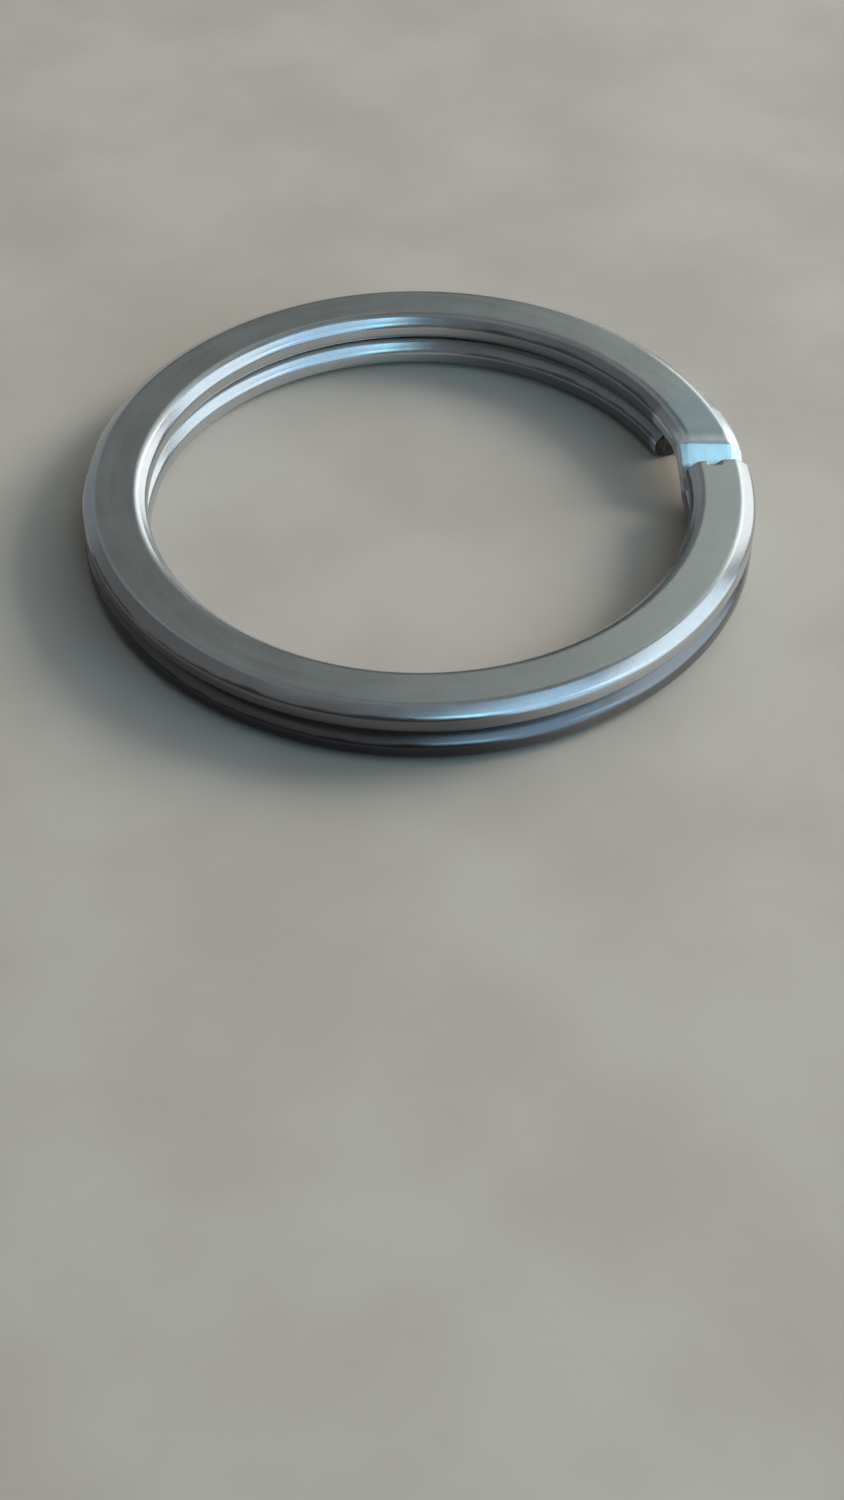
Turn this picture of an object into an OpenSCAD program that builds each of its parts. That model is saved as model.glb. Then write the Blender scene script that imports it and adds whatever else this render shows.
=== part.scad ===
// Split ring: one length of rolled flat wire coiled into two turns.
// The lower turn lies flat, the jog lifts the wire to the upper level,
// and the upper turn runs on over the lower one to the cut end.
// Angles are counted round +Z from +X, and the ring rests on z = 0.

/* [Ring] */
// Outer diameter of the coiled ring
outer_d = 30; // [20:0.5:60]
// Angle at which the upper turn is cut off
split_angle = 6.5; // [0:0.5:90]

/* [Wire] */
// Width of the flat wire, across the face of the ring
wire_w = 2.9; // [2:0.1:4.5]
// Thickness of the flat wire, along the axis of the ring
wire_t = 1.45; // [1:0.05:2]
// Radius of the rolled edges of the wire
edge_r = 0.68; // [0.2:0.02:0.98]
// Rounding left on the two cut ends by tumbling
end_round = 0.16; // [0.04:0.02:0.3]

/* [Coil] */
// Clearance between the two turns
turn_gap = 0.05; // [0.02:0.01:0.3]
// Free length between the top of the jog and the end of the lower turn
end_window = 1.5; // [0.2:0.1:4]

/* [Jog] */
// Slope of the steep middle of the jog, in degrees
jog_slope = 46; // [25:1:55]
// Slope at which the soft bend at the top meets the steep part
crest_slope = 14; // [5:1:20]
// Radius of the soft bend at the top
crest_r = 5.6; // [3:0.1:8]
// Radius of the two creases, where the foot and the shoulder are pressed
crease_r = 0.25; // [0.1:0.05:0.6]
// Skew of the top of the jog against the ring's radius, in degrees
jog_skew = 12; // [-15:1:15]

/* [Hidden] */

// Steps in each rounded corner of the wire's section, and in the coil
corner_steps = 6;
coil_fn = 240;
// Largest change of slope between two sections of a bend, in degrees
bend_step = 6;
// Straight sections in the steep part of the jog, and steps in a cut end
ramp_steps = 3;
end_steps = 4;
// The jog and the cut ends are drawn in by this hair, so that their skins
// don't coincide with the true curves of the turns that they meet end to end
skin_step = 0.012;
// They reach this far into the turns, so that the wire is one piece
joint_lap = 0.08;

mid_r = outer_d / 2 - wire_w / 2;
level = wire_t + turn_gap;
// The rolled edge stops short of half the thickness, so a thin flat stays
roll_r = min(edge_r, 0.49 * wire_t, 0.49 * wire_w);
cut_round = min(end_round, 0.5 * roll_r);

// The jog is pressed, not bent: its sections stay upright, so both faces of the
// wire follow one line of bends. Rise and run of a bend between two slopes:
function bend_rise(r, from, to) = abs(r * (cos(from) - cos(to)));
function bend_run(r, from, to) = abs(r * (sin(to) - sin(from)));

// Rise that the foot, the shoulder and the crest take before any ramp is left
function bends_rise(slope) =
    bend_rise(crease_r, 0, slope)
    + bend_rise(crease_r, crest_slope, slope)
    + bend_rise(crest_r, 0, crest_slope);

// A low step is climbed by the bends alone, at a smaller slope
function climb_slope(slope) =
    slope <= crest_slope || bends_rise(slope) <= level ? slope : climb_slope(slope - 0.5);

slope = climb_slope(jog_slope);
ramp_rise = max(0, level - bends_rise(slope));
ramp_run = ramp_rise / tan(slope);

// Where the parts of the jog begin, measured along the middle of the wire
foot_end = bend_run(crease_r, 0, slope);
shoulder_start = foot_end + ramp_run;
crest_start = shoulder_start + bend_run(crease_r, crest_slope, slope);
jog_run = crest_start + bend_run(crest_r, 0, crest_slope);

// Straight lead over which the skew of the crest fades out again
skew_shift = tan(jog_skew);
skew_lead = max(0.4, 1.2 * abs(skew_shift) * wire_w / 2);

function angle_of(x) = x * 180 / (PI * mid_r);
jog_start_angle = split_angle;
jog_end_angle = jog_start_angle + angle_of(jog_run + skew_lead);
lower_end_angle = jog_start_angle + angle_of(jog_run + max(end_window, skew_lead + cut_round));

// A section of the wire is [x, height, inset, skew]
function fraction(k, n) = k / n;
function bend_count(from, to) = max(2, ceil(abs(to - from) / bend_step));

function foot_sections() = let(n = bend_count(0, slope)) [
    for (k = [0:n]) let(s = slope * fraction(k, n))
        [bend_run(crease_r, 0, s), bend_rise(crease_r, 0, s), skin_step, 0]
];
function ramp_sections() = [
    for (k = [1:ramp_steps]) let(part = fraction(k, ramp_steps))
        if (ramp_rise > 0)
            [foot_end + ramp_run * part, bend_rise(crease_r, 0, slope) + ramp_rise * part,
             skin_step, part]
];
function shoulder_sections() = let(n = bend_count(slope, crest_slope)) [
    for (k = [1:n]) let(s = slope + (crest_slope - slope) * fraction(k, n))
        [shoulder_start + bend_run(crease_r, s, slope),
         bend_rise(crease_r, 0, slope) + ramp_rise + bend_rise(crease_r, s, slope),
         skin_step, 1]
];
function crest_sections() = let(n = max(4, bend_count(crest_slope, 0))) [
    for (k = [1:n]) let(s = crest_slope * (1 - fraction(k, n)))
        [jog_run - bend_run(crest_r, 0, s), level - bend_rise(crest_r, 0, s), skin_step, 1]
];
function jog_sections() = concat(
    [[-joint_lap, 0, skin_step, 0]],
    foot_sections(), ramp_sections(), shoulder_sections(), crest_sections(),
    [[jog_run + skew_lead, level, skin_step, 0]],
    [[jog_run + skew_lead + joint_lap, level, skin_step, 0]]
);

// A cut end is the same section drawn in along a quarter circle
function end_sections(direction) = [
    [-direction * joint_lap, 0, skin_step, 0],
    for (k = [0:end_steps]) let(a = 90 * fraction(k, end_steps))
        [direction * cut_round * sin(a), 0, skin_step + (cut_round - skin_step) * (1 - cos(a)), 0]
];

// Outline of the wire's section: [across the width, along the thickness]
function section_outline(inset) = [
    for (corner = [[1, 1, 0], [-1, 1, 90], [-1, -1, 180], [1, -1, 270]], k = [0:corner_steps])
        let(a = corner[2] + 90 * fraction(k, corner_steps))
            [corner[0] * (wire_w / 2 - roll_r) + (roll_r - inset) * cos(a),
             corner[1] * (wire_t / 2 - roll_r) + (roll_r - inset) * sin(a)]
];

// The wire is laid out straight along x and wrapped round the ring
function wrapped(x, across, z) = let(a = angle_of(x))
    [(mid_r + across) * cos(a), (mid_r + across) * sin(a), z];
function placed(section, point) = wrapped(
    section[0] - section[3] * skew_shift * point[0],
    point[0],
    wire_t / 2 + section[1] + point[1]
);

// Closed skin through a row of sections, with a flat face at each end
module swept_wire(sections) {
    ring_points = [for (s = sections) [for (p = section_outline(s[2])) placed(s, p)]];
    n = len(ring_points[0]);
    last = len(sections) - 1;
    polyhedron(
        points = [for (ring = ring_points) for (p = ring) p],
        faces = concat(
            [for (i = [0:last - 1], j = [0:n - 1])
                let(a = i * n + j, b = i * n + (j + 1) % n)
                    [a, b, a + n]],
            [for (i = [0:last - 1], j = [0:n - 1])
                let(a = i * n + j, b = i * n + (j + 1) % n)
                    [b, b + n, a + n]],
            [[for (j = [n - 1:-1:0]) j]],
            [[for (j = [0:n - 1]) last * n + j]]
        ),
        convexity = 4
    );
}

// Section of the wire as a flat shape, for the turns
module wire_section() {
    square([wire_w - 2 * roll_r, wire_t], center = true);
    square([wire_w, wire_t - 2 * roll_r], center = true);
    for (side = [-1, 1], face = [-1, 1])
        translate([side * (wire_w / 2 - roll_r), face * (wire_t / 2 - roll_r)])
            circle(r = roll_r, $fn = 4 * corner_steps);
}

module turn(from, to, z) {
    translate([0, 0, z + wire_t / 2])
        rotate_extrude(angle = to - from, start = from, $fn = coil_fn)
            translate([mid_r, 0])
                wire_section();
}

module cut_end(angle, direction, z) {
    sections = end_sections(direction);
    translate([0, 0, z])
        rotate([0, 0, angle])
            swept_wire(direction > 0 ? sections : [for (k = [end_steps + 1:-1:0]) sections[k]]);
}

module jog() {
    rotate([0, 0, jog_start_angle])
        swept_wire(jog_sections());
}

// The turns are joined to their cut ends first, and the jog joins them last
module lower_turn() {
    start = lower_end_angle + angle_of(cut_round);
    cut_end(start, -1, 0);
    turn(start, 360 + jog_start_angle, 0);
}

module upper_turn() {
    end = split_angle - angle_of(cut_round);
    turn(jog_end_angle, 360 + end, level);
    cut_end(end, 1, level);
}

module wire_ring() {
    color("silver") {
        lower_turn();
        union() {
            jog();
            upper_turn();
        }
    }
}

wire_ring();
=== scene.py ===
"""Split ring of rolled flat steel wire: its visible form, its finish and its studio.

The ring is one length of flat wire.  The lower turn lies on the floor, the jog
lifts the wire to the upper level, and the upper turn runs on to the cut end.
Lengths are in metres, and angles in radians unless a name or note says otherwise.
"""

from __future__ import annotations

import logging
import math
from dataclasses import dataclass, field
from enum import Enum
from functools import cached_property, reduce

import bmesh
import bpy
from mathutils import Matrix, Vector


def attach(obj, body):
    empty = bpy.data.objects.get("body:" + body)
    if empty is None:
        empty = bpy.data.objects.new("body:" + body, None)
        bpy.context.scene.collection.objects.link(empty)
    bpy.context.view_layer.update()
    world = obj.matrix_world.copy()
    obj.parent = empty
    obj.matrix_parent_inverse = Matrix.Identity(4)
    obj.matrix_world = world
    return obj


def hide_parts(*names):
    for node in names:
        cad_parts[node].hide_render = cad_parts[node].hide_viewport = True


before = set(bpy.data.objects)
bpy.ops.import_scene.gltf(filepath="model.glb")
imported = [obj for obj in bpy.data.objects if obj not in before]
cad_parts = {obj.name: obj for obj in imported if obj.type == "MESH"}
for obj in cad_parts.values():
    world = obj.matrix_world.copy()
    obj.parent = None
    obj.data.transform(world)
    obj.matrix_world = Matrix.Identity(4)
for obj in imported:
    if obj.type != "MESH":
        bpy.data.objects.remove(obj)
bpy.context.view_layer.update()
LOG = logging.getLogger("split_ring")
MM = 0.001

# Share of a half size from which a corner of the section counts as lying on that side.
ON_SIDE = 0.499
# Corners of each face of the wire's skin.  Only the two cut faces have more.
SKIN_CORNERS = 4
# Slot of the dull metal of the cut ends, whose near-black colour is painted shade, in the wire's
# mesh.  The satin steel has slot 0.
SHEARED_SLOT = 1
# Ranges that hold the middle of a noise texture's values.
NOISE_SPAN = (0.3, 0.7)
WIDE_NOISE_SPAN = (0.25, 0.75)

Colour = tuple[float, float, float, float]
Span = tuple[float, float]
Socket = bpy.types.NodeSocket


class Facing(Enum):
    """The way that a cut end of the wire looks along the coil."""

    BACK = -1
    AHEAD = 1


class Softbox(Enum):
    """The named lights of the studio."""

    WINDOW = "window_light"
    SKY = "sky_light"
    SIDE = "side_light"
    BACK = "back_light"
    CORNER = "corner_light"
    SHELF = "shelf_light"
    PORCH = "porch_light"
    CEILING = "ceiling_light"
    FILL = "fill_light"


def link(item: bpy.types.Object) -> bpy.types.Object:
    """Puts an object into the scene and returns it."""
    bpy.context.scene.collection.objects.link(item)
    return item


def finished(name: str, mesh: bmesh.types.BMesh) -> bpy.types.Object:
    """Turns a mesh under construction into an object of the scene.

    Args:
        name: Name of the object and of its mesh.
        mesh: The mesh, which is freed.

    Returns:
        The object, at the origin, with its place in its mesh.
    """
    data = bpy.data.meshes.new(name)
    mesh.to_mesh(data)
    mesh.free()
    return link(bpy.data.objects.new(name, data))


@dataclass(frozen=True)
class Station:
    """One place of the wire's section.

    Args:
        along: Length along the middle of the wire, from angle zero.
        height: Height of the section's middle above the floor.
        skew: Share of the jog's skew, from 0 to 1.
        inset: How far the section is drawn in, for a rounded end.
        press: Share by which the inner top slope is pressed level with the land.
    """

    along: float
    height: float
    skew: float = 0.0
    inset: float = 0.0
    press: float = 0.0


@dataclass(frozen=True)
class WireProfile:
    """Section of the flat wire: two flat lands between edges rolled to soft slopes.

    Args:
        width: Width of the wire, across the ring.
        thickness: Thickness of the wire, up the ring.
        edge_reach: How far each slope reaches in from the side.
        edge_drop: How far each slope drops from the land.
        land_round: Set-back of the rounding where a land meets its slope.
        side_round: Set-back of the rounding where a slope meets the side.
        inner_land_round: The same as land_round, for the upper land's inner end.
        inner_gain: How much further in the upper land reaches on the inner side.
        round_segments: Facets of each rounding.
        upper_cuts: Cuts that divide the upper land, for the nick.
        lower_cuts: Cuts that divide the lower land.
    """

    width: float = 2.9 * MM
    thickness: float = 1.45 * MM
    edge_reach: float = 0.62 * MM
    edge_drop: float = 0.40 * MM
    land_round: float = 0.12 * MM
    side_round: float = 0.19 * MM
    inner_land_round: float = 0.20 * MM
    inner_gain: float = 0.17 * MM
    round_segments: int = 8
    upper_cuts: int = 22
    lower_cuts: int = 5

    @staticmethod
    def bevel(mesh: bmesh.types.BMesh, corners: list[bmesh.types.BMVert], offset: float,
              segments: int) -> None:
        """Cuts or rounds corners of the section.

        Args:
            mesh: The mesh that holds the section.
            corners: The corners to cut.
            offset: How far each cut sets back from its corner.
            segments: 1 for a flat cut, or the facets of a rounding.
        """
        bmesh.ops.bevel(mesh, geom=corners, offset=offset, offset_type="OFFSET",
                        segments=segments, profile=0.5, affect="VERTICES", material=-1)

    def lay_out(self, mesh: bmesh.types.BMesh) -> bmesh.types.BMFace:
        """Makes the section as one face, x across the wire and z through it.

        The corners are cut at 45 degrees on a stretched plate, so that the slopes
        have their own reach and drop once the stretch is taken out.

        Args:
            mesh: The empty mesh that takes the section.

        Returns:
            The section's face, which looks along -y.
        """
        stretch = self.edge_reach / self.edge_drop
        bmesh.ops.create_grid(mesh, x_segments=1, y_segments=1, size=0.5)
        bmesh.ops.scale(mesh, vec=(self.width, self.thickness * stretch, 1.0),
                        verts=mesh.verts[:])
        self.bevel(mesh, mesh.verts[:], self.edge_reach, 1)
        bmesh.ops.scale(mesh, vec=(1.0, 1 / stretch, 1.0), verts=mesh.verts[:])
        sides = [v for v in mesh.verts if abs(v.co.x) > ON_SIDE * self.width]
        self.bevel(mesh, sides, self.side_round, self.round_segments)
        ends = [v for v in mesh.verts if abs(v.co.y) > ON_SIDE * self.thickness]
        inner = [v for v in ends if v.co.x < 0 < v.co.y]
        others = [v for v in ends if v not in inner]
        bmesh.ops.translate(mesh, vec=(-self.inner_gain, 0.0, 0.0), verts=inner)
        self.bevel(mesh, others, self.land_round, self.round_segments)
        self.bevel(mesh, inner, self.inner_land_round, self.round_segments)
        bmesh.ops.rotate(mesh, cent=(0, 0, 0), matrix=Matrix.Rotation(math.pi / 2, 3, "X"),
                         verts=mesh.verts[:])
        half_land = self.width / 2 - self.edge_reach
        for side, cuts in ((1, self.upper_cuts), (-1, self.lower_cuts)):
            land = [e for e in mesh.edges
                    if all(v.co.z * side > ON_SIDE * self.thickness for v in e.verts)
                    and e.calc_length() > half_land]
            bmesh.ops.subdivide_edges(mesh, edges=land, cuts=cuts)
        mesh.faces.ensure_lookup_table()
        return mesh.faces[0]


@dataclass(frozen=True)
class JogForm:
    """The pressed climb between the two levels: foot, ramp, shoulder and soft crest.

    Args:
        ramp_slope: Slope of the straight ramp.
        crest_slope: Slope at which the shoulder gives way to the crest.
        crest_radius: Radius of the crest.
        crease_radius: Radius of the foot and of the shoulder.
        skew: How far a skewed section leads along the wire, per width across it.
        skew_lead: Length along the wire in which the skew fades beyond the crest.
        press: Share by which the ramp's inner top slope is pressed level.
        press_onset: Share of the ramp over which the press sets in.
        crease_steps: Steps of the foot, and of the shoulder.
        ramp_steps: Steps of the ramp.
        crest_steps: Steps of the crest.
        lead_steps: Steps of the lead beyond the crest.
    """

    ramp_slope: float = math.radians(46)
    crest_slope: float = math.radians(14)
    crest_radius: float = 5.6 * MM
    crease_radius: float = 0.25 * MM
    skew: float = math.tan(math.radians(12))
    skew_lead: float = 0.4 * MM
    press: float = 0.88
    press_onset: float = 0.5
    crease_steps: int = 10
    ramp_steps: int = 14
    crest_steps: int = 16
    lead_steps: int = 6

    def stations(self, start: float, floor: float, rise: float) -> list[Station]:
        """Gives the jog's stations, whose sections all stay upright.

        Args:
            start: Length along the wire at which the jog begins.
            floor: Height of the lower turn's middle.
            rise: Height between the two turns.

        Returns:
            The stations, in order along the wire.
        """
        ramp, crest = self.ramp_slope, self.crest_slope
        crease, soft = self.crease_radius, self.crest_radius
        rows = [Station(start + crease * math.sin(s), floor + crease * (1 - math.cos(s)))
                for s in (ramp * k / self.crease_steps for k in range(self.crease_steps + 1))]
        bends = (crease * (1 - math.cos(ramp)) + crease * (math.cos(crest) - math.cos(ramp))
                 + soft * (1 - math.cos(crest)))
        climb = rise - bends
        x, z = rows[-1].along, rows[-1].height
        for k in range(1, self.ramp_steps + 1):
            part = k / self.ramp_steps
            rows.append(Station(x + part * climb / math.tan(ramp), z + part * climb, part,
                                press=self.press * min(1.0, part / self.press_onset)))
        x, z = rows[-1].along, rows[-1].height
        for k in range(1, self.crease_steps + 1):
            s = ramp + (crest - ramp) * k / self.crease_steps
            rows.append(Station(x + crease * (math.sin(ramp) - math.sin(s)),
                                z + crease * (math.cos(s) - math.cos(ramp)), 1.0,
                                press=self.press))
        x = rows[-1].along + soft * math.sin(crest)
        for k in range(1, self.crest_steps + 1):
            left = 1 - k / self.crest_steps
            s = crest * left
            rows.append(Station(x - soft * math.sin(s), floor + rise - soft * (1 - math.cos(s)),
                                1.0, press=self.press * left ** 2))
        for k in range(1, self.lead_steps + 1):
            part = k / self.lead_steps
            rows.append(Station(x + self.skew_lead * part, floor + rise, 1 - part))
        return rows


@dataclass(frozen=True)
class Nick:
    """A small knock in the top edge of the upper cut end.

    Args:
        across: Its middle, outwards from the middle of the wire.
        reach: How far it spreads to each side.
        run: How far it runs back from the cut.
        depth: Its greatest depth.
        overhang: How far past the cut a point may lie and still be pressed.
        fade: Power with which its depth fades outwards.
        drag: Share of its depth by which the metal is dragged over the cut.
        zone: Share of the wire's thickness that it touches, from the top.
    """

    across: float = -0.2 * MM
    reach: float = 0.34 * MM
    run: float = 0.42 * MM
    depth: float = 0.2 * MM
    overhang: float = 0.1 * MM
    fade: float = 0.8
    drag: float = 0.35
    zone: float = 0.7

    def press(self, along: float, across: float) -> float:
        """Gives the depth to which the top of the wire is knocked down.

        Args:
            along: Length back from the cut end.
            across: Length outwards from the middle of the wire.

        Returns:
            The depth, which is 0 away from the nick.
        """
        if not -self.overhang < along < self.run:
            return 0.0
        sideways = 1 - min(1.0, abs(across - self.across) / self.reach)
        backwards = 1 - max(0.0, along) / self.run
        return self.depth * (sideways * backwards) ** self.fade


@dataclass
class CoiledWire:
    """The whole wire, coiled into two turns.

    Args:
        profile: Its section.
        jog: Its climb from the lower turn to the upper one.
        nick: The knock in its upper cut end.
        outer_radius: Radius of the ring.
        level: Height between the two turns, from middle to middle.
        split_angle: Angle round the ring of the jog's foot and the upper cut end.
        lower_end_angle: Angle round the ring of the lower cut end.
        end_round: Radius of the cut ends' edges.
        end_steps: Steps of a cut end's edge.
        sheared_rows: Rows of faces, from a cut face outwards, that are dull and carry the
            painted shade of the cut ends.
        turn_step: Longest step of a level turn, as an angle.
        fine_step: Longest step beside the nick, along the wire.
        fine_run: Length along the wire that has the fine steps.
    """

    profile: WireProfile = field(default_factory=WireProfile)
    jog: JogForm = field(default_factory=JogForm)
    nick: Nick = field(default_factory=Nick)
    outer_radius: float = 15.0 * MM
    level: float = 1.5 * MM
    split_angle: float = math.radians(6.5)
    lower_end_angle: float = math.radians(24.7)
    end_round: float = 0.16 * MM
    end_steps: int = 7
    sheared_rows: int = 4
    turn_step: float = math.radians(1.5)
    fine_step: float = 0.06 * MM
    fine_run: float = 1.0 * MM

    @property
    def mid_radius(self) -> float:
        """Radius of the middle of the wire."""
        return self.outer_radius - self.profile.width / 2

    @property
    def seam(self) -> float:
        """Height of the seam between the two turns."""
        return (self.level + self.profile.thickness) / 2

    def matrix(self, station: Station) -> Matrix:
        """Gives the place of the section at a station.

        Args:
            station: The station along the coil.

        Returns:
            The matrix that moves the section there from the origin.
        """
        drawn_in = Matrix.Diagonal((1 - 2 * station.inset / self.profile.width, 1.0,
                                    1 - 2 * station.inset / self.profile.thickness, 1.0))
        skewed = Matrix.Identity(4)
        skewed[1][0] = -self.jog.skew * station.skew
        return (Matrix.Rotation(station.along / self.mid_radius, 4, "Z")
                @ Matrix.Translation((self.mid_radius, 0.0, station.height))
                @ skewed @ drawn_in)

    def cut_end(self, edge: float, height: float, facing: Facing) -> list[Station]:
        """Gives the stations of a rounded cut end, from the wire out to the cut.

        Args:
            edge: Length along the wire at which the end face stands.
            height: Height of the wire's middle.
            facing: The way that the end looks along the coil.

        Returns:
            The stations, in order from the wire's full section to its end face.
        """
        rows = []
        for k in range(1, self.end_steps + 1):
            a = math.pi / 2 * k / self.end_steps
            rows.append(Station(edge - facing.value * self.end_round * (1 - math.sin(a)), height,
                                inset=self.end_round * (1 - math.cos(a))))
        return rows

    def carry(self, mesh: bmesh.types.BMesh, tip: bmesh.types.BMFace,
              stations: list[Station]) -> bmesh.types.BMFace:
        """Carries the section through a row of stations, one extrusion for each.

        The inner top quarter of the section is pressed towards the land's level by
        the share that each station gives.

        Args:
            mesh: The mesh that grows.
            tip: The section's face, which stands at the first station.
            stations: The row of stations.

        Returns:
            The face at the last station.
        """
        top = self.profile.thickness / 2
        for before, after in zip(stations, stations[1:]):
            grown = bmesh.ops.extrude_face_region(mesh, geom=[tip])
            tip = next(e for e in grown["geom"] if isinstance(e, bmesh.types.BMFace))
            place, back = self.matrix(after), self.matrix(before).inverted()
            for v in tip.verts:
                spot = back @ v.co
                if spot.x < 0 < spot.z:
                    depth = (top - spot.z) / (1 - before.press)
                    spot.z = top - depth * (1 - after.press)
                v.co = place @ spot
        return tip

    def turn(self, mesh: bmesh.types.BMesh, tip: bmesh.types.BMFace, start: float, end: float,
             step: float) -> bmesh.types.BMFace:
        """Spins the section along a level stretch of wire and returns its last face.

        Args:
            mesh: The mesh that grows.
            tip: The section's face, which stands at the start.
            start: Length along the wire at which the stretch starts.
            end: Length along the wire at which it ends.
            step: Longest step along the wire.

        Returns:
            The face at the end.
        """
        spun = bmesh.ops.spin(
            mesh, geom=[tip], cent=(0, 0, 0), axis=(0, 0, 1), dvec=(0, 0, 0),
            angle=(end - start) / self.mid_radius, steps=math.ceil((end - start) / step),
            use_merge=False, use_normal_flip=False, use_duplicate=False,
        )
        return next(e for e in spun["geom_last"] if isinstance(e, bmesh.types.BMFace))

    def sweep(self, mesh: bmesh.types.BMesh) -> None:
        """Carries the section along the coil, from the lower cut end to the upper one.

        Args:
            mesh: The empty mesh that takes the wire.
        """
        r = self.mid_radius
        floor = self.profile.thickness / 2
        top = floor + self.level
        coarse = r * self.turn_step
        lower_edge = r * self.lower_end_angle
        split = r * (2 * math.pi + self.split_angle)
        upper_edge = split + 2 * math.pi * r
        start = lower_edge + self.end_round
        end = upper_edge - self.end_round

        tip = self.profile.lay_out(mesh)
        rows = self.cut_end(lower_edge, floor, Facing.BACK)[::-1] + [Station(start, floor)]
        bmesh.ops.transform(mesh, matrix=self.matrix(rows[0]), verts=tip.verts[:])
        tip = self.carry(mesh, tip, rows)
        tip = self.turn(mesh, tip, start, split, coarse)
        climb = self.jog.stations(split, floor, self.level)
        tip = self.carry(mesh, tip, climb)
        tip = self.turn(mesh, tip, climb[-1].along, end - self.fine_run, coarse)
        tip = self.turn(mesh, tip, end - self.fine_run, end, self.fine_step)
        self.carry(mesh, tip, [Station(end, top)] + self.cut_end(upper_edge, top, Facing.AHEAD))

    def clear(self, mesh: bmesh.types.BMesh) -> None:
        """Deletes the section's faces that the sweep leaves inside the wire.

        Args:
            mesh: The mesh that holds the wire.
        """
        inner = [f for f in mesh.faces if all(len(e.link_faces) > 2 for e in f.edges)]
        bmesh.ops.delete(mesh, geom=inner, context="FACES_ONLY")

    def shear(self, mesh: bmesh.types.BMesh) -> None:
        """Gives the two cut faces, and the rows of faces beside them, the dull metal and its
        painted shade.

        Args:
            mesh: The mesh that holds the wire.
        """
        for cut in [f for f in mesh.faces if len(f.verts) > SKIN_CORNERS]:
            ring = [cut]
            for _ in range(self.sheared_rows):
                ring = list({f for g in ring for e in g.edges for f in e.link_faces})
            for face in ring:
                face.material_index = SHEARED_SLOT

    def knock(self, mesh: bmesh.types.BMesh) -> None:
        """Presses the nick into the top edge of the upper cut end.

        Args:
            mesh: The mesh that holds the wire.
        """
        top = self.profile.thickness + self.level
        cut = self.mid_radius * self.split_angle
        for v in mesh.verts:
            if v.co.z < top - self.profile.thickness * self.nick.zone:
                continue
            press = self.nick.press(cut - self.mid_radius * math.atan2(v.co.y, v.co.x),
                                    v.co.xy.length - self.mid_radius)
            press *= min(1.0, 1 - (top - v.co.z) / self.profile.thickness)
            if press > 0:
                bmesh.ops.translate(mesh, vec=(0.0, -self.nick.drag * press, -press), verts=[v])

    def build(self) -> bpy.types.Object:
        """Makes the wire as one closed piece.

        Returns:
            The object, at the origin, with its place in its mesh.
        """
        mesh = bmesh.new()
        self.sweep(mesh)
        self.clear(mesh)
        self.shear(mesh)
        self.knock(mesh)
        bmesh.ops.recalc_face_normals(mesh, faces=mesh.faces[:])
        for face in mesh.faces:
            face.smooth = len(face.verts) == SKIN_CORNERS
        return finished("coiled_wire", mesh)


@dataclass(frozen=True)
class Noise:
    """Settings of a noise texture."""

    scale: float
    detail: float
    roughness: float = 0.5


@dataclass(frozen=True)
class Relief:
    """Settings of a bump: its strength, and its depth in metres."""

    strength: float
    depth: float


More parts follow.
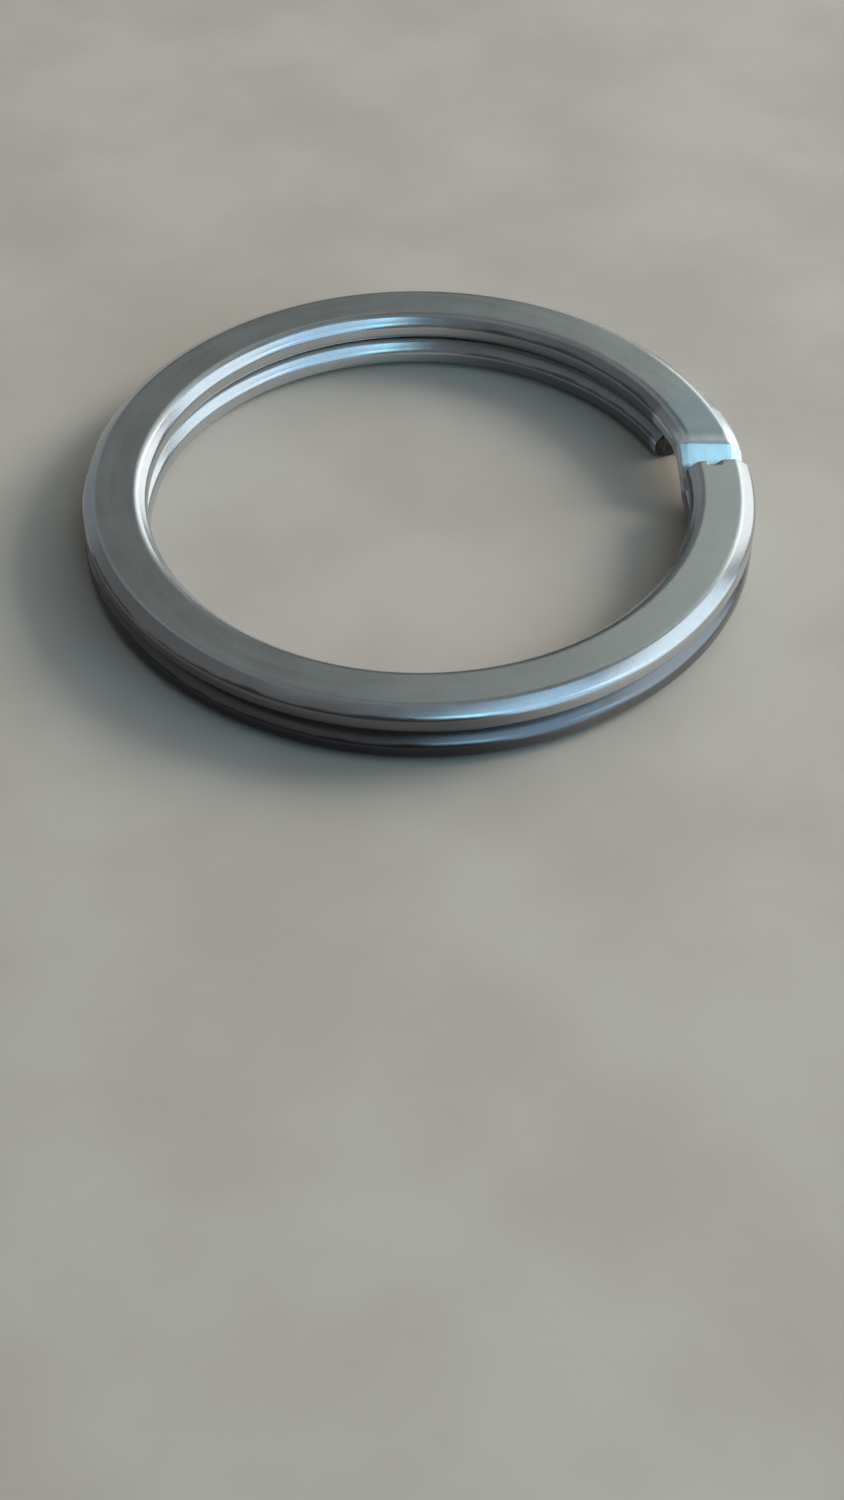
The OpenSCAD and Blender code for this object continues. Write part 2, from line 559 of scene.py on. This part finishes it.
class NodeBench:
    """A small helper that lays out a material's nodes."""

    def __init__(self, name: str) -> None:
        """Starts a material that has the plain shader and its output.

        Args:
            name: Name of the material.
        """
        self.material = bpy.data.materials.new(name)
        self.material.use_nodes = True
        self.tree = self.material.node_tree
        self.shader = self.tree.nodes["Principled BSDF"]

    def node(self, kind: str, inputs: dict | None = None, **settings: object) -> bpy.types.Node:
        """Adds one node.

        Args:
            kind: The node's type name, without its ShaderNode prefix.
            inputs: Values or sockets for the node's inputs, by name or number.
            **settings: Attributes of the node.

        Returns:
            The new node.
        """
        made = self.tree.nodes.new("ShaderNode" + kind)
        for key, value in settings.items():
            setattr(made, key, value)
        for key, value in (inputs or {}).items():
            self.feed(made.inputs[key], value)
        return made

    def feed(self, socket: Socket, value: object) -> None:
        """Links a socket to an output, or gives it a constant.

        Args:
            socket: The input that is fed.
            value: An output to link it to, or the constant.
        """
        if isinstance(value, bpy.types.NodeSocket):
            self.tree.links.new(value, socket)
        else:
            socket.default_value = value

    def math(self, operation: str, a: object, b: object = 0.0) -> Socket:
        """Adds a math node and returns its output."""
        return self.node("Math", {0: a, 1: b}, operation=operation).outputs[0]

    def product(self, *factors: object) -> Socket:
        """Multiplies two or more values and returns the output."""
        return reduce(lambda a, b: self.math("MULTIPLY", a, b), factors)

    def total(self, *terms: object) -> Socket:
        """Adds two or more values and returns the output."""
        return reduce(lambda a, b: self.math("ADD", a, b), terms)

    def vector(self, operation: str, inputs: dict, output: int | str = 0) -> Socket:
        """Adds a vector math node and returns the output that is named."""
        return self.node("VectorMath", inputs, operation=operation).outputs[output]

    def remap(self, value: object, source: Span, target: Span = (0.0, 1.0),
              smooth: bool = True) -> Socket:
        """Maps a value from one range to another, and keeps it inside the second.

        Args:
            value: The value.
            source: The range that it comes from.
            target: The range that it goes to.
            smooth: Whether it eases in and out.

        Returns:
            The node's output.
        """
        made = self.node("MapRange", {"Value": value, "From Min": source[0],
                                      "From Max": source[1], "To Min": target[0],
                                      "To Max": target[1]},
                         interpolation_type="SMOOTHSTEP" if smooth else "LINEAR")
        return made.outputs["Result"]

    def noise(self, vector: object, look: Noise, w: object | None = None) -> Socket:
        """Adds a noise texture.

        Args:
            vector: Where it is read.
            look: Its settings.
            w: Its fourth coordinate, for noise of four dimensions.

        Returns:
            The socket of its value.
        """
        inputs = {"Vector": vector, "Scale": look.scale, "Detail": look.detail,
                  "Roughness": look.roughness}
        if w is not None:
            inputs["W"] = w
        made = self.node("TexNoise", inputs, noise_dimensions="3D" if w is None else "4D")
        return made.outputs["Fac"]

    def blend(self, factor: object, a: object, b: object, mode: str = "MIX") -> Socket:
        """Mixes two colours.

        Args:
            factor: Share of the second colour.
            a: The first colour, input 6 of the node.
            b: The second colour, input 7 of the node.
            mode: How the second is laid over the first.

        Returns:
            The mixed colour, output 2 of the node.
        """
        made = self.node("Mix", {0: factor, 6: a, 7: b}, data_type="RGBA", blend_type=mode)
        return made.outputs[2]

    def bump(self, height: Socket, relief: Relief, under: Socket | None = None) -> Socket:
        """Adds a bump.

        Args:
            height: The height that it follows.
            relief: Its settings.
            under: The output of a bump that it is laid over.

        Returns:
            The socket of its normal.
        """
        inputs = {"Height": height, "Strength": relief.strength, "Distance": relief.depth}
        if under is not None:
            inputs["Normal"] = under
        return self.node("Bump", inputs).outputs[0]


@dataclass(frozen=True)
class WireZones:
    """Where the steel's tones begin and end.

    Args:
        edge: Start and end of the edge's tone, outwards from the end of the land.
        ramp: Span of height, from the ramp's middle, in which its tone sets in.
        jog_start: Length, back from the split, in which the jog's tone sets in.
        jog_end: Length, before the lower cut end, in which it fades.
        crest: Start and end of the crest's painted bluish reflection, back from the lower cut
            end.
        middle: Half the width in which the inner side gives way to the outer one.
        inner_lee: Span from left to right in which the painted shade on the inner wall sets in.
        outer_lee: Span from right to left in which the painted shade on the outer wall sets in.
        wall: Heights, in each turn, at which the painted shade on its wall gives way to its
            slope.
        wall_lift: How much higher the wall's painted shade reaches where the side looks away
            from the light.
        waver: How far those heights waver.
        front: Span from back to front in which the painted shade on the lower turn's front sets
            in.
        groove: Heights, from the seam, at which the painted shade in the groove sets in and is
            full.
        groove_shade_share: How much of the colour the painted groove shade takes there.
    """

    edge: Span = (-0.12 * MM, 0.08 * MM)
    ramp: Span = (0.72 * MM, 0.62 * MM)
    jog_start: float = 0.05 * MM
    jog_end: float = 0.4 * MM
    crest: Span = (1.8 * MM, -1.0 * MM)
    middle: float = 0.2 * MM
    inner_lee: Span = (-3.0 * MM, 5.0 * MM)
    outer_lee: Span = (9.0 * MM, 1.0 * MM)
    wall: Span = (0.86 * MM, 0.76 * MM)
    wall_lift: float = 0.28 * MM
    waver: float = 0.05 * MM
    front: Span = (-1.0 * MM, -6.0 * MM)
    groove: Span = (0.35 * MM, 0.08 * MM)
    groove_shade_share: float = 0.3


class WireMap:
    """Sockets that tell a material where on the coil a point lies.

    Each mask runs from 0 to 1.
    """

    def __init__(self, bench: NodeBench, wire: CoiledWire, zones: WireZones) -> None:
        """Lays out the coordinates that the masks are made from.

        Args:
            bench: The material's bench.
            wire: The wire whose sizes the masks follow.
            zones: Where the tones begin and end.
        """
        self.bench, self.wire, self.zones = bench, wire, zones
        self.place = bench.node("TexCoord").outputs["Object"]
        flat = bench.vector("MULTIPLY", {0: self.place, 1: (1.0, 1.0, 0.0)})
        self.radius = bench.vector("LENGTH", {0: flat}, "Value")
        self.heading = bench.vector("NORMALIZE", {0: flat})
        self.x, self.y, self.height = bench.node("SeparateXYZ", {0: self.place}).outputs

    @cached_property
    def edge(self) -> Socket:
        """Mask of the rolled edges and the sides, beside the flat lands."""
        profile = self.wire.profile
        half_gain = profile.inner_gain / 2
        land_end = profile.width / 2 - profile.edge_reach + half_gain
        middle = self.wire.mid_radius - half_gain
        across = self.bench.math("ABSOLUTE", self.bench.math("SUBTRACT", self.radius, middle))
        start, end = self.zones.edge
        return self.bench.remap(across, (land_end + start, land_end + end))

    @cached_property
    def beyond_split(self) -> Socket:
        """Mask of the right side of the ring, behind the split."""
        split = self.wire.mid_radius * math.sin(self.wire.split_angle)
        return self.bench.product(
            self.bench.remap(self.y, (split, split + self.zones.jog_start)),
            self.bench.math("GREATER_THAN", self.x, 0.0))

    @cached_property
    def lower_end(self) -> float:
        """How far back the lower cut end lies."""
        return self.wire.mid_radius * math.sin(self.wire.lower_end_angle)

    @cached_property
    def jog(self) -> Socket:
        """Mask of the stretch between the split and the lower cut end."""
        fade = (self.lower_end, self.lower_end - self.zones.jog_end)
        return self.bench.product(self.beyond_split, self.bench.remap(self.y, fade))

    @cached_property
    def crest(self) -> Socket:
        """Mask of the painted bluish reflection on the jog's crest, which fades softly beyond
        it.
        """
        start, end = self.zones.crest
        fade = (self.lower_end + start, self.lower_end + end)
        return self.bench.product(self.beyond_split, self.bench.remap(self.y, fade))

    @cached_property
    def ramp(self) -> Socket:
        """Mask of the jog's ramp."""
        middle = self.wire.profile.thickness + self.wire.level / 2
        climb = self.bench.math("ABSOLUTE", self.bench.math("SUBTRACT", self.height, middle))
        return self.bench.product(self.bench.remap(climb, self.zones.ramp), self.jog)

    @cached_property
    def outside(self) -> Socket:
        """Mask of the outer half of the wire."""
        middle, half = self.wire.mid_radius, self.zones.middle
        return self.bench.remap(self.radius, (middle - half, middle + half))

    @cached_property
    def upper(self) -> Socket:
        """Mask of the upper turn."""
        return self.bench.math("GREATER_THAN", self.height, self.wire.seam)

    @cached_property
    def lee(self) -> Socket:
        """Mask of the sides that look away from the light."""
        return self.bench.blend(self.outside, self.bench.remap(self.x, self.zones.inner_lee),
                                self.bench.remap(self.x, self.zones.outer_lee))

    @cached_property
    def shaded_walls(self) -> Socket:
        """Mask of the painted shade on the sides that look away from the light, without the jog.
        """
        calm = self.bench.math("SUBTRACT", 1.0, self.jog)
        return self.bench.product(self.edge, calm, self.lee)

    def upright(self, waver: Socket) -> Socket:
        """Gives the mask of the upright part of the painted shade on the sides.

        Args:
            waver: A noise that its upper border follows.

        Returns:
            The mask.
        """
        bench, zones = self.bench, self.zones
        local = bench.math("SUBTRACT", self.height, bench.product(self.upper, self.wire.level))
        local = bench.total(local, bench.remap(waver, NOISE_SPAN, (-zones.waver, zones.waver)))
        local = bench.math("SUBTRACT", local, bench.product(self.lee, zones.wall_lift))
        return bench.product(bench.remap(local, zones.wall), self.shaded_walls)

    @cached_property
    def lower_front_shade(self) -> Socket:
        """Mask of the painted shade on the lower turn's outer side, at the front."""
        lower = self.bench.math("SUBTRACT", 1.0, self.upper)
        return self.bench.product(lower, self.outside, self.edge,
                                  self.bench.remap(self.y, self.zones.front))

    @cached_property
    def groove(self) -> Socket:
        """Mask of the painted shade in the groove between the turns, on the shaded sides."""
        off_seam = self.bench.math("SUBTRACT", self.height, self.wire.seam)
        near = self.bench.remap(self.bench.math("ABSOLUTE", off_seam), self.zones.groove,
                                (0.0, self.zones.groove_shade_share))
        return self.bench.product(near, self.shaded_walls)


@dataclass(frozen=True)
class SteelTextures:
    """The sockets of the steel's textures."""

    lines: Socket
    streaks: Socket
    cloud: Socket
    grain: Socket
    waver: Socket


@dataclass(frozen=True)
class SatinSteel:
    """Tumbled satin steel with faint drawing lines along the wire.

    Args:
        land_colour: Colour of the flat lands.
        edge_colour: Colour of the rolled edges and of the sides outside the painted shade.
        outer_shade_colour: Painted shade on the outer side, away from the light.
        inner_shade_colour: Painted shade on the inner side, away from the light.
        crest_reflection_tint: Painted bluish reflection on the jog's crest.
        ramp_colour: Colour of the jog's burnished ramp.
        front_shade_tint: Painted shade tint of the lower turn's outer side, at the front.
        groove_shade_colour: Painted shade in the groove between the turns.
        cloud_tone: Range of brightness of the clouds.
        streak_tone: Range of brightness of the streaks.
        grain_tone: Range of brightness of the grain.
        land_roughness: Roughness of the lands.
        edge_roughness: Roughness of the edges.
        ramp_roughness: What the ramp adds to its roughness.
        cloud_roughness: Range of what the clouds add.
        streak_roughness: Range of what the streaks add.
        line_width: Width of a drawing line.
        line_climb: How fast the lines pass by up the wire, against across it.
        line_run: Scale of the lines along the wire.
        streak_width: Scale of the streaks against the lines.
        line_relief: Share of the lines in the fine relief.
        grain_relief: Share of the grain in it.
        fine_relief: The relief of the lines and the grain.
        slow_relief: The relief of the waves.
        lines: The noise of the lines.
        streaks: The noise of the streaks.
        cloud: The noise of the clouds.
        grain: The noise of the grain.
        waver: The noise of the waves.
        zones: Where the tones begin and end.
    """

    land_colour: Colour = (0.47, 0.49, 0.475, 1.0)
    edge_colour: Colour = (0.68, 0.69, 0.70, 1.0)
    outer_shade_colour: Colour = (0.19, 0.185, 0.195, 1.0)
    inner_shade_colour: Colour = (0.26, 0.27, 0.29, 1.0)
    crest_reflection_tint: Colour = (0.80, 0.92, 1.0, 1.0)
    ramp_colour: Colour = (0.90, 0.94, 0.96, 1.0)
    front_shade_tint: Colour = (0.38, 0.37, 0.38, 1.0)
    groove_shade_colour: Colour = (0.045, 0.042, 0.04, 1.0)
    cloud_tone: Span = (0.93, 1.05)
    streak_tone: Span = (0.96, 1.03)
    grain_tone: Span = (0.965, 1.03)
    land_roughness: float = 0.30
    edge_roughness: float = 0.23
    ramp_roughness: float = 0.05
    cloud_roughness: Span = (-0.03, 0.04)
    streak_roughness: Span = (-0.03, 0.03)
    line_width: float = 0.05 * MM
    line_climb: float = 0.83
    line_run: float = 5.0
    streak_width: float = 0.17
    line_relief: float = 0.55
    grain_relief: float = 0.45
    fine_relief: Relief = Relief(0.35, 0.003 * MM)
    slow_relief: Relief = Relief(0.4, 0.02 * MM)
    lines: Noise = Noise(1.0, 2.0, 0.6)
    streaks: Noise = Noise(0.6, 3.0, 0.55)
    cloud: Noise = Noise(260.0, 4.0, 0.6)
    grain: Noise = Noise(9000.0, 3.0, 0.65)
    waver: Noise = Noise(420.0, 2.0, 0.5)
    zones: WireZones = WireZones()

    def material(self, wire: CoiledWire) -> bpy.types.Material:
        """Makes the material.

        Args:
            wire: The wire whose sizes the pattern follows.

        Returns:
            The finished material.
        """
        bench = NodeBench("satin_steel")
        where = WireMap(bench, wire, self.zones)
        textures = self.textures(bench, where)
        bench.feed(bench.shader.inputs["Base Color"], self.colour(bench, where, textures))
        bench.feed(bench.shader.inputs["Roughness"], self.roughness(bench, where, textures))
        bench.feed(bench.shader.inputs["Normal"], self.relief(bench, textures))
        bench.shader.inputs["Metallic"].default_value = 1.0
        return bench.material

    def textures(self, bench: NodeBench, where: WireMap) -> SteelTextures:
        """Lays out the textures, of which the lines and streaks follow the wire.

        Args:
            bench: The material's bench.
            where: The map of the wire.

        Returns:
            The textures' sockets.
        """
        spread = bench.total(where.radius, bench.product(where.height, self.line_climb))
        thread = bench.product(spread, 1 / self.line_width)
        sweep = bench.vector("SCALE", {0: where.heading, "Scale": self.line_run})
        return SteelTextures(
            lines=bench.noise(sweep, self.lines, thread),
            streaks=bench.noise(sweep, self.streaks, bench.product(thread, self.streak_width)),
            cloud=bench.noise(where.place, self.cloud),
            grain=bench.noise(where.place, self.grain),
            waver=bench.noise(where.place, self.waver),
        )

    def colour(self, bench: NodeBench, where: WireMap, textures: SteelTextures) -> Socket:
        """Lays out the colour.

        Args:
            bench: The material's bench.
            where: The map of the wire.
            textures: The textures' sockets.

        Returns:
            The socket of the colour.
        """
        colour = bench.blend(where.edge, self.land_colour, self.edge_colour)
        # Painted bluish reflection on the jog's crest.
        colour = bench.blend(where.crest, colour, self.crest_reflection_tint, "MULTIPLY")
        colour = bench.blend(where.ramp, colour, self.ramp_colour)
        tone = bench.product(bench.remap(textures.cloud, WIDE_NOISE_SPAN, self.cloud_tone),
                             bench.remap(textures.streaks, NOISE_SPAN, self.streak_tone),
                             bench.remap(textures.grain, NOISE_SPAN, self.grain_tone))
        grey = bench.node("CombineColor", {0: tone, 1: tone, 2: tone}).outputs[0]
        colour = bench.blend(1.0, colour, grey, "MULTIPLY")
        # Painted shade on the sides that look away from the light.
        dark = bench.blend(where.outside, self.inner_shade_colour, self.outer_shade_colour)
        colour = bench.blend(where.upright(textures.waver), colour, dark)
        # Painted shade on the lower turn's outer side, at the front.
        colour = bench.blend(where.lower_front_shade, colour, self.front_shade_tint, "MULTIPLY")
        # Painted shade in the groove between the turns.
        return bench.blend(where.groove, colour, self.groove_shade_colour)

    def roughness(self, bench: NodeBench, where: WireMap, textures: SteelTextures) -> Socket:
        """Lays out the roughness.

        Args:
            bench: The material's bench.
            where: The map of the wire.
            textures: The textures' sockets.

        Returns:
            The socket of the roughness.
        """
        return bench.total(
            bench.remap(where.edge, (0.0, 1.0), (self.land_roughness, self.edge_roughness),
                        smooth=False),
            bench.product(where.ramp, self.ramp_roughness),
            bench.remap(textures.cloud, NOISE_SPAN, self.cloud_roughness),
            bench.remap(textures.streaks, NOISE_SPAN, self.streak_roughness),
        )

    def relief(self, bench: NodeBench, textures: SteelTextures) -> Socket:
        """Lays out the relief.

        Args:
            bench: The material's bench.
            textures: The textures' sockets.

        Returns:
            The socket of the normal.
        """
        fine = bench.total(bench.product(textures.lines, self.line_relief),
                           bench.product(textures.grain, self.grain_relief))
        return bench.bump(textures.waver, self.slow_relief, bench.bump(fine, self.fine_relief))


@dataclass(frozen=True)
class ShearedSteel:
    """The dull, torn metal of the two cut ends, painted near-black as shade.

    Args:
        colour: Its main colour, near-black: painted shade.
        bright: The colour of its torn crests.
        bright_span: Span of the noise in which the one gives way to the other.
        roughness: Range of its roughness.
        squeeze: How much the tears are drawn out up the wire.
        tears: The noise of the tears.
        tear_relief: Their relief.
    """

    colour: Colour = (0.06, 0.06, 0.062, 1.0)
    bright: Colour = (0.15, 0.15, 0.15, 1.0)
    bright_span: Span = (0.4, 0.65)
    roughness: Span = (0.4, 0.6)
    squeeze: float = 0.25
    tears: Noise = Noise(9000.0, 4.0, 0.6)
    tear_relief: Relief = Relief(0.5, 0.012 * MM)

    def material(self) -> bpy.types.Material:
        """Makes the material.

        Returns:
            The finished material.
        """
        bench = NodeBench("sheared_steel")
        place = bench.node("TexCoord").outputs["Object"]
        tear = bench.noise(bench.vector("MULTIPLY", {0: place, 1: (1.0, 1.0, self.squeeze)}),
                           self.tears)
        # The near-black colours are painted shade on the cut ends.
        bench.feed(bench.shader.inputs["Base Color"],
                   bench.blend(bench.remap(tear, self.bright_span), self.colour, self.bright))
        bench.feed(bench.shader.inputs["Roughness"],
                   bench.remap(tear, NOISE_SPAN, self.roughness))
        bench.feed(bench.shader.inputs["Normal"], bench.bump(tear, self.tear_relief))
        bench.shader.inputs["Metallic"].default_value = 1.0
        return bench.material


@dataclass
class SplitRing:
    """The split ring: its one wire, and the finishes on it.

    Args:
        wire: The wire.
        finish: The steel of its skin.
        cut: The metal of its cut ends.
        node: The node of the part that it stands for.
        material_slot: That node's material slot, which is not used.
    """

    wire: CoiledWire = field(default_factory=CoiledWire)
    finish: SatinSteel = field(default_factory=SatinSteel)
    cut: ShearedSteel = field(default_factory=ShearedSteel)
    node: str = "wire_ring"
    material_slot: str = "ring_steel"

    def make(self) -> bpy.types.Object:
        """Builds and dresses the ring.

        Returns:
            The ring's one piece.
        """
        piece = self.wire.build()
        for material in (self.finish.material(self.wire), self.cut.material()):
            piece.data.materials.append(material)
        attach(piece, "root")
        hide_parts(self.node)
        return piece


@dataclass
class PaleTable:
    """The plain pale floor under the ring.

    Args:
        size: Its length and its width.
        drop: How far it lies below the ring's underside.
        colour: Its main colour.
        dark: The colour of its soft clouds.
        cloud: The noise of the clouds.
        cloud_span: Span of the noise in which the one colour gives way to the other.
        roughness: Its roughness.
    """

    size: float = 1.6
    drop: float = 0.01 * MM
    colour: Colour = (0.66, 0.58, 0.50, 1.0)
    dark: Colour = (0.585, 0.51, 0.43, 1.0)
    cloud: Noise = Noise(90.0, 4.0)
    cloud_span: Span = (0.35, 0.65)
    roughness: float = 0.6

    def make(self) -> bpy.types.Object:
        """Makes the floor.

        Returns:
            The floor, which is no part of the ring.
        """
        mesh = bmesh.new()
        bmesh.ops.create_grid(mesh, x_segments=1, y_segments=1, size=self.size / 2)
        bmesh.ops.translate(mesh, vec=(0, 0, -self.drop), verts=mesh.verts[:])
        floor = finished("pale_table", mesh)
        bench = NodeBench("pale_table")
        place = bench.node("TexCoord").outputs["Object"]
        cloud = bench.remap(bench.noise(place, self.cloud), self.cloud_span)
        bench.feed(bench.shader.inputs["Base Color"], bench.blend(cloud, self.dark, self.colour))
        bench.shader.inputs["Roughness"].default_value = self.roughness
        floor.data.materials.append(bench.material)
        return floor


@dataclass(frozen=True)
class Panel:
    """One soft light of the studio, given as it looks from the ring.

    Args:
        azimuth: Its direction round the ring from the back, towards the right, in degrees.
        elevation: Its height above the floor, in degrees.
        wide: Its width, in degrees.
        tall: Its height, in degrees.
        radiance: Its brightness.
        colour: Its colour.
        mirrored: Whether it shows in polished metal.
    """

    azimuth: float
    elevation: float
    wide: float
    tall: float
    radiance: float
    colour: tuple[float, float, float]
    mirrored: bool = True


@dataclass
class Studio:
    """Soft light from tall side windows, a grey room behind and a dark room in front.

    Args:
        distance: How far the lights stand from the ring.
        spill: Share of a mirrored light that falls on dull surfaces.
        room: Colour of the room.
        panels: The lights.
    """

    distance: float = 0.7
    spill: float = 0.55
    room: Colour = (0.105, 0.107, 0.11, 1.0)
    panels: dict[Softbox, Panel] = field(default_factory=lambda: {
        Softbox.WINDOW: Panel(91, 25, 49, 50, 1.25, (0.74, 0.90, 1.0)),
        Softbox.SKY: Panel(138, 31, 43, 68, 0.92, (0.42, 0.72, 1.0)),
        Softbox.SIDE: Panel(36, 14, 38, 46, 1.25, (0.95, 1.0, 1.0)),
        Softbox.BACK: Panel(30, 39, 36, 34, 0.48, (0.91, 1.0, 0.98)),
        Softbox.CORNER: Panel(-18, 40, 60, 40, 0.118, (0.90, 1.0, 1.0)),
        Softbox.SHELF: Panel(-42, 10, 34, 20, 0.13, (0.70, 0.90, 1.0)),
        Softbox.PORCH: Panel(163, 42, 10, 34, 1.5, (0.32, 0.84, 1.0)),
        Softbox.CEILING: Panel(0, 80, 60, 56, 0.10, (0.80, 0.95, 1.0)),
        Softbox.FILL: Panel(70, 30, 26, 22, 9.2, (1.0, 0.96, 0.90), False),
    })

    def side(self, degrees: float) -> float:
        """Gives the length that spans an angle as seen from the ring."""
        return 2 * self.distance * math.tan(math.radians(degrees) / 2)

    def light(self, box: Softbox, panel: Panel) -> bpy.types.Object:
        """Adds one soft light that looks at the ring.

        Args:
            box: Which of the lights it is.
            panel: Its place, size and colour.

        Returns:
            The light.
        """
        data = bpy.data.lights.new(box.value, "AREA")
        data.shape = "RECTANGLE"
        data.size = self.side(panel.wide)
        data.size_y = self.side(panel.tall)
        data.energy = panel.radiance * math.pi * data.size * data.size_y
        data.color = panel.colour
        data.diffuse_factor = self.spill if panel.mirrored else 1.0
        lamp = bpy.data.objects.new(box.value, data)
        az, el = math.radians(panel.azimuth), math.radians(panel.elevation)
        way = Vector((math.sin(az) * math.cos(el), math.cos(az) * math.cos(el), math.sin(el)))
        lamp.location = way * self.distance
        lamp.rotation_euler = way.to_track_quat("Z", "Y").to_euler()
        lamp.visible_glossy = panel.mirrored
        return link(lamp)

    def make(self) -> None:
        """Adds the lights and the dim room round them."""
        for box, panel in self.panels.items():
            self.light(box, panel)
        world = bpy.data.worlds.new("dim_room")
        world.use_nodes = True
        sky = world.node_tree.nodes["Background"]
        sky.inputs["Color"].default_value = self.room
        sky.inputs["Strength"].default_value = 1.0
        bpy.context.scene.world = world
        bpy.context.scene.view_settings.view_transform = "Standard"


@dataclass
class Viewpoint:
    """The camera, above the front of the ring and looking down on it.

    Args:
        focal_pixels: Its focal length, in pixels of the picture.
        frame_pixels: Width of the picture, in pixels.
        sensor_width: Width of its sensor, in millimetres.
        elevation: Its angle above the floor.
        roll: Its turn about its own axis.
        distance: Its distance from the point that it looks at.
        aim: That point on the floor.
        clip: Nearest and furthest distance that it sees.
    """

    focal_pixels: float = 2400.0
    frame_pixels: float = 844.0
    sensor_width: float = 36.0
    elevation: float = math.radians(45.46)
    roll: float = math.radians(0.449)
    distance: float = 99.135 * MM
    aim: Span = (0.228 * MM, -14.1 * MM)
    clip: Span = (0.005, 10.0)

    def make(self) -> bpy.types.Object:
        """Makes the camera and gives it to the scene.

        Returns:
            The camera.
        """
        data = bpy.data.cameras.new("main_camera")
        data.sensor_fit = "HORIZONTAL"
        data.sensor_width = self.sensor_width
        data.lens = self.focal_pixels / self.frame_pixels * self.sensor_width
        data.clip_start, data.clip_end = self.clip
        camera = bpy.data.objects.new("main_camera", data)
        back = Vector((0.0, -math.cos(self.elevation), math.sin(self.elevation)))
        right = Vector((1.0, 0.0, 0.0))
        up = back.cross(right)
        across = right * math.cos(self.roll) + up * math.sin(self.roll)
        upward = up * math.cos(self.roll) - right * math.sin(self.roll)
        turn = Matrix((across, upward, back)).transposed().to_4x4()
        stand = Vector((*self.aim, 0.0)) + back * self.distance
        camera.matrix_world = Matrix.Translation(stand) @ turn
        bpy.context.scene.camera = link(camera)
        return camera


def main() -> None:
    """Builds the camera, the ring, the floor and the light, and reports each piece."""
    logging.basicConfig(level=logging.INFO, format="%(name)s: %(message)s")
    Viewpoint().make()
    ring = SplitRing().make()
    LOG.info("%s: %d faces", ring.name, len(ring.data.polygons))
    floor = PaleTable().make()
    LOG.info("%s: %.2f m across", floor.name, floor.dimensions.x)
    Studio().make()


if __name__ == "__main__":
    main()
